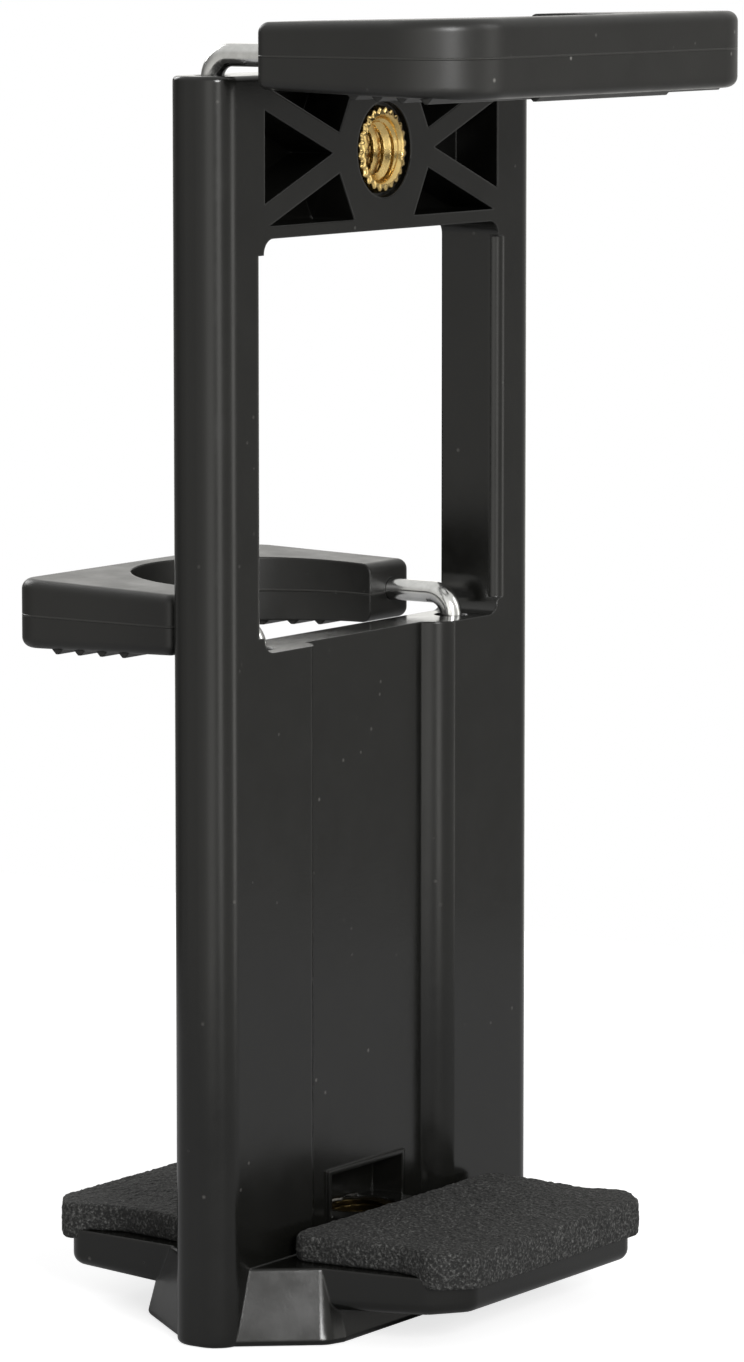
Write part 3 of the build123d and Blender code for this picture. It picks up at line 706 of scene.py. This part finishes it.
def coil(x, low, high, radius, turns, wire):
    """Coil spring: a ring of wire carried along a helix that climbs from low to high.

    The helix starts and ends half a wire inside them. It rises evenly, apart from one nearly flat
    turn at each end, and each ring lies in the plane of the coil's radius and its axis.
    """
    t = np.linspace(0, 1, turns * TURN_STEPS + 1)
    angle = 2 * np.pi * turns * t
    flat_turn = 1.0 / turns
    climb = np.clip((t - flat_turn) / (1 - 2 * flat_turn), 0, 1)
    rise = SPRING_CREEP * t + (1 - SPRING_CREEP) * climb
    height = low + wire / 2 + (high - low - wire) * rise
    around = np.linspace(0, 2 * np.pi, WIRE_SIDES + 1)[:-1]
    radial = radius + wire / 2 * np.cos(around)[None, :]
    return np.stack([x + radial * np.cos(angle)[:, None], radial * np.sin(angle)[:, None],
                     height[:, None] + wire / 2 * np.sin(around)[None, :]], axis=-1)


class HOLDER_OT_springs(bpy.types.Operator):
    """Make the four coil springs inside the tubes"""
    bl_idname = "holder.springs"
    bl_label = "Coil springs"

    def execute(self, context):
        shape = context.scene.holder_springs
        turns = {"tablet": shape.tablet_turns, "phone": shape.phone_turns}
        wire = shape.wire / MM
        steel = turned_metal("Spring steel", SPRING_GREY, 0.30, along=2)
        for jaw in JAWS:
            for side in SIDES:
                node = f"{jaw}_spring_{side}"
                low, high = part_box(node)
                x = (low.x + high.x) / 2 / MM
                radius = (high.x - low.x) / 2 / MM - wire / 2
                points = coil(x, low.z / MM, high.z / MM, radius, turns[jaw], wire)
                piece = add_piece(f"{jaw}_coil_{side}", points, steel)
                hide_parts(node)
                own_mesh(piece)
        return {"FINISHED"}


# Stage


def soft_lamp(name, azimuth, elevation, size, power):
    """Rectangular lamp in a direction from the object, turned to face it."""
    lamp = bpy.data.lights.new(name, "AREA")
    lamp.shape = "RECTANGLE"
    lamp.size, lamp.size_y = size
    lamp.energy = power
    place = bpy.data.objects.new(name, lamp)
    a, e = math.radians(azimuth), math.radians(elevation)
    offset = Vector((math.cos(e) * math.cos(a), math.cos(e) * math.sin(a), math.sin(e))) * LAMP_DISTANCE
    place.location = Vector(LIGHT_TARGET) + offset
    place.rotation_euler = (-offset).to_track_quat("-Z", "Y").to_euler()
    place.visible_camera = False
    bpy.context.scene.collection.objects.link(place)


def surround(strength, mirrored):
    """World: white to the camera, even soft light, and a studio with dark and bright sides in gloss.

    What gloss mirrors depends on the bearing alone near the horizon, by a ramp over the angle round
    the object, and turns into an even soft ceiling higher up.
    """
    world = bpy.data.worlds.new("Soft room")
    bpy.context.scene.world = world
    world.use_nodes = True
    world.node_tree.nodes.clear()
    n = Nodes(world.node_tree)

    def background(colour, power):
        return n.add("ShaderNodeBackground", inputs={"Color": colour, "Strength": power}).outputs[0]

    direction = n.add("ShaderNodeTexCoord").outputs["Generated"]
    bearing = n.add("ShaderNodeTexGradient", {"gradient_type": "RADIAL"}, {"Vector": direction})
    greys = sorted(((degrees / 360 + 0.5) % 1.0, grey) for degrees, grey in ROOM)
    stops = [(place, (grey, grey * 0.99, grey * 0.95)) for place, grey in greys]
    walls = n.ramp(bearing.outputs["Fac"], stops)
    height = n.add("ShaderNodeSeparateXYZ", inputs={"Vector": direction}).outputs["Z"]
    room = n.mix(n.fade(height, 0.2, 0.7), walls, CEILING)
    white = (1, 1, 1, 1)
    path = n.add("ShaderNodeLightPath").outputs
    seen = n.maths("MAXIMUM", path["Is Camera Ray"], path["Is Transmission Ray"])
    lit = n.mix_shaders(path["Is Glossy Ray"], background(white, strength), background(room, mirrored))
    n.add("ShaderNodeOutputWorld", inputs={"Surface": n.mix_shaders(seen, lit, background(white, 1.0))})


def floor_material():
    """Pale floor that the camera sees as white, with the object's shadow left on it."""
    n = Material("Pale floor")
    tint = n.ramp(n.noise(6.0, 2.0), [(0.3, 0.56), (0.7, 0.59)])
    n.finish({"Base Color": tint, "Roughness": 0.9, "Specular IOR Level": 0.0})
    seen = n.add("ShaderNodeLightPath").outputs["Is Camera Ray"]
    glow = n.add("ShaderNodeEmission", inputs={"Color": (1, 1, 1, 1),
                                               "Strength": n.maths("MULTIPLY", seen, FLOOR_GLOW)})
    both = n.add("ShaderNodeAddShader", inputs={0: n.shader.outputs[0], 1: glow.outputs[0]})
    n.feed(n.tree.nodes["Material Output"].inputs["Surface"], both.outputs[0])
    return n.material


def pale_floor(steps=8):
    """Flat square floor as a grid of quads, just under the object."""
    line = np.linspace(-FLOOR_HALF, FLOOR_HALF, steps + 1)
    xs, ys = np.meshgrid(line, line)
    verts = np.stack([xs, ys, np.full_like(xs, -FLOOR_DROP)], axis=-1).reshape(-1, 3)
    index = np.arange(xs.size).reshape(xs.shape)
    quads = np.stack([index[:-1, :-1], index[:-1, 1:], index[1:, 1:], index[1:, :-1]], axis=-1)
    mesh = bpy.data.meshes.new("floor")
    mesh.from_pydata(verts.tolist(), [], quads.reshape(-1, 4).tolist())
    mesh.update()
    mesh.materials.append(floor_material())
    floor = bpy.data.objects.new("floor", mesh)
    bpy.context.scene.collection.objects.link(floor)


def photo_camera(scene):
    """Camera at the photograph's place and angle."""
    camera = bpy.data.cameras.new("Camera")
    camera.lens = CAMERA_LENS
    camera.sensor_width = 36.0
    camera.sensor_fit = "AUTO"
    camera.clip_start, camera.clip_end = 0.01, 20.0
    view = bpy.data.objects.new("Camera", camera)
    view.location = CAMERA_PLACE
    view.rotation_euler = Vector(CAMERA_AIM).to_track_quat("-Z", "Y").to_euler()
    scene.collection.objects.link(view)
    scene.camera = view


class HOLDER_OT_stage(bpy.types.Operator):
    """Set the floor, the light and the camera"""
    bl_idname = "holder.stage"
    bl_label = "Stage"

    def execute(self, context):
        light = context.scene.holder_stage
        pale_floor()
        surround(light.fill, light.mirrored)
        for name, azimuth, elevation, size, setting in LAMPS:
            soft_lamp(name, azimuth, elevation, size, getattr(light, setting))
        photo_camera(context.scene)
        context.scene.view_settings.view_transform = "Standard"
        return {"FINISHED"}


# Add-on


STEPS = (HOLDER_OT_mouldings, HOLDER_OT_arms, HOLDER_OT_metal, HOLDER_OT_foam, HOLDER_OT_sockets,
         HOLDER_OT_springs, HOLDER_OT_stage)


class HOLDER_PT_panel(bpy.types.Panel):
    """Settings and steps of the holder"""
    bl_idname = "HOLDER_PT_panel"
    bl_label = "Two-jaw holder"
    bl_space_type = "VIEW_3D"
    bl_region_type = "UI"
    bl_category = "Holder"

    def draw(self, context):
        for group, kind in GROUPS.items():
            box = self.layout.box()
            for field in kind.__annotations__:
                box.prop(getattr(context.scene, group), field)
        for step in STEPS:
            self.layout.operator(step.bl_idname)


CLASSES = (*GROUPS.values(), *STEPS, HOLDER_PT_panel)


def register():
    for kind in CLASSES:
        bpy.utils.register_class(kind)
    for group, kind in GROUPS.items():
        setattr(bpy.types.Scene, group, PointerProperty(type=kind))


def unregister():
    for group in GROUPS:
        delattr(bpy.types.Scene, group)
    for kind in reversed(CLASSES):
        bpy.utils.unregister_class(kind)


def main():
    register()
    for step in STEPS:
        family, action = step.bl_idname.split(".")
        getattr(getattr(bpy.ops, family), action)()


if __name__ == "__main__":
    main()
